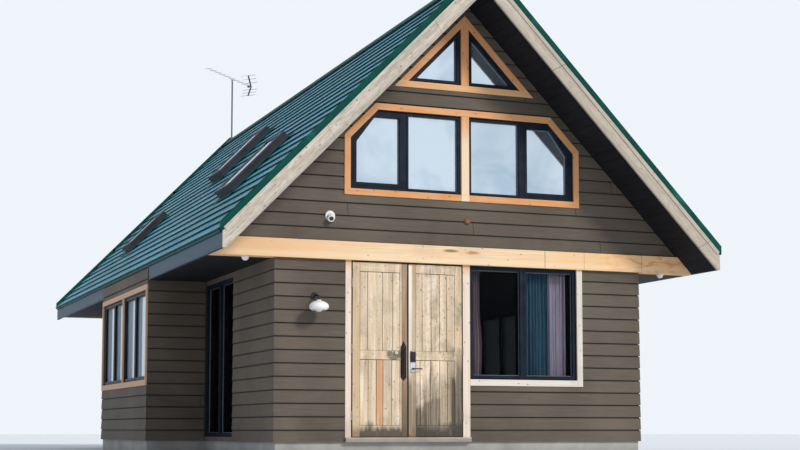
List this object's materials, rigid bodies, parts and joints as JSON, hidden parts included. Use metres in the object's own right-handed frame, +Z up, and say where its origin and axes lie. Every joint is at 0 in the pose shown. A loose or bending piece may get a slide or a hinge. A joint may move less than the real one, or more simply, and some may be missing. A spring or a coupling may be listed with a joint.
{
  "type": "a-frame cabin",
  "caption": "Timber A-frame cabin with a steep green metal roof, dark siding, a hexagonal gable window and plank double doors.",
  "frame": {"origin": "on the ground at the middle of the plan, under the middle of the ridge", "axes": "+X to the right along the front, +Y back along the ridge, +Z up; the front with the doors faces -Y"},
  "size_m": [7.3762, 13.8653, 8.227],
  "materials": {
    "concrete": "rough",
    "floor_boards": "satin",
    "soffit_boards": "matte",
    "dark_siding": "matte",
    "pale_timber": "matte",
    "weathered_timber": "matte",
    "orange_timber": "matte",
    "door_boards": "matte",
    "green_metal": "satin",
    "fascia_metal": "satin",
    "dark_metal": "satin",
    "dark_iron": "satin",
    "black_plastic": "satin",
    "steel": "satin",
    "window_frame": "satin",
    "glass": "gloss",
    "white_enamel": "gloss",
    "white_plastic": "satin",
    "brown_cap": "satin",
    "aluminium": "satin",
    "curtain_cloth": "woven"
  },
  "bodies": {
    "house": {"foundation": "concrete", "floor_ground": "floor_boards", "floor_upper": "soffit_boards", "wall_front_left": "dark_siding", "wall_front_right": "dark_siding", "side_walls_front": "dark_siding", "side_walls_rear": "dark_siding", "wall_rear": "dark_siding", "wing_left": "dark_siding", "wing_right": "dark_siding", "gable_front": "dark_siding", "gable_rear": "dark_siding", "beam_front": "pale_timber", "beam_rear": "pale_timber", "roof_left": "soffit_boards", "roof_right": "soffit_boards", "roofing_left": "green_metal", "roofing_right": "green_metal", "ridge_cap": "green_metal", "verge_caps": "green_metal", "barge_front": "weathered_timber", "barge_rear": "weathered_timber", "fascias": "fascia_metal", "door_frame": "pale_timber", "front_window_frames": "window_frame", "front_window_trim": "orange_timber", "side_window_frames": "window_frame", "wing_window_trim": "pale_timber", "rear_window_frames": "window_frame", "rear_window_trim": "orange_timber", "window_glass": "glass", "roof_windows": "dark_metal", "roof_window_glass": "glass", "wall_lamp": "white_enamel", "security_camera": "white_plastic", "soffit_lamps": "white_plastic", "vent_cap": "brown_cap", "antenna": "aluminium", "curtain_rail": "aluminium", "curtains": "curtain_cloth"},
    "left_leaf": {"door_left": "door_boards", "pull_plate": "dark_iron"},
    "right_leaf": {"door_right": "door_boards", "keypad_lock": "black_plastic"},
    "lever": {"door_lever": "steel"}
  },
  "joints": [
    {"name": "left_leaf_hinge", "type": "hinge", "parent": "house", "child": "left_leaf", "pos_m": [-1.669, -5.943, 1.438], "axis": [0, 0, -1], "range_deg": [0, 100]},
    {"name": "right_leaf_hinge", "type": "hinge", "parent": "house", "child": "right_leaf", "pos_m": [-0.051, -5.943, 1.438], "axis": [0, 0, 1], "range_deg": [0, 100]},
    {"name": "lever_spindle", "type": "hinge", "parent": "right_leaf", "child": "lever", "pos_m": [-0.792, -5.9453, 1.185], "axis": [0, 1, 0], "range_deg": [0, 45]}
  ]
}
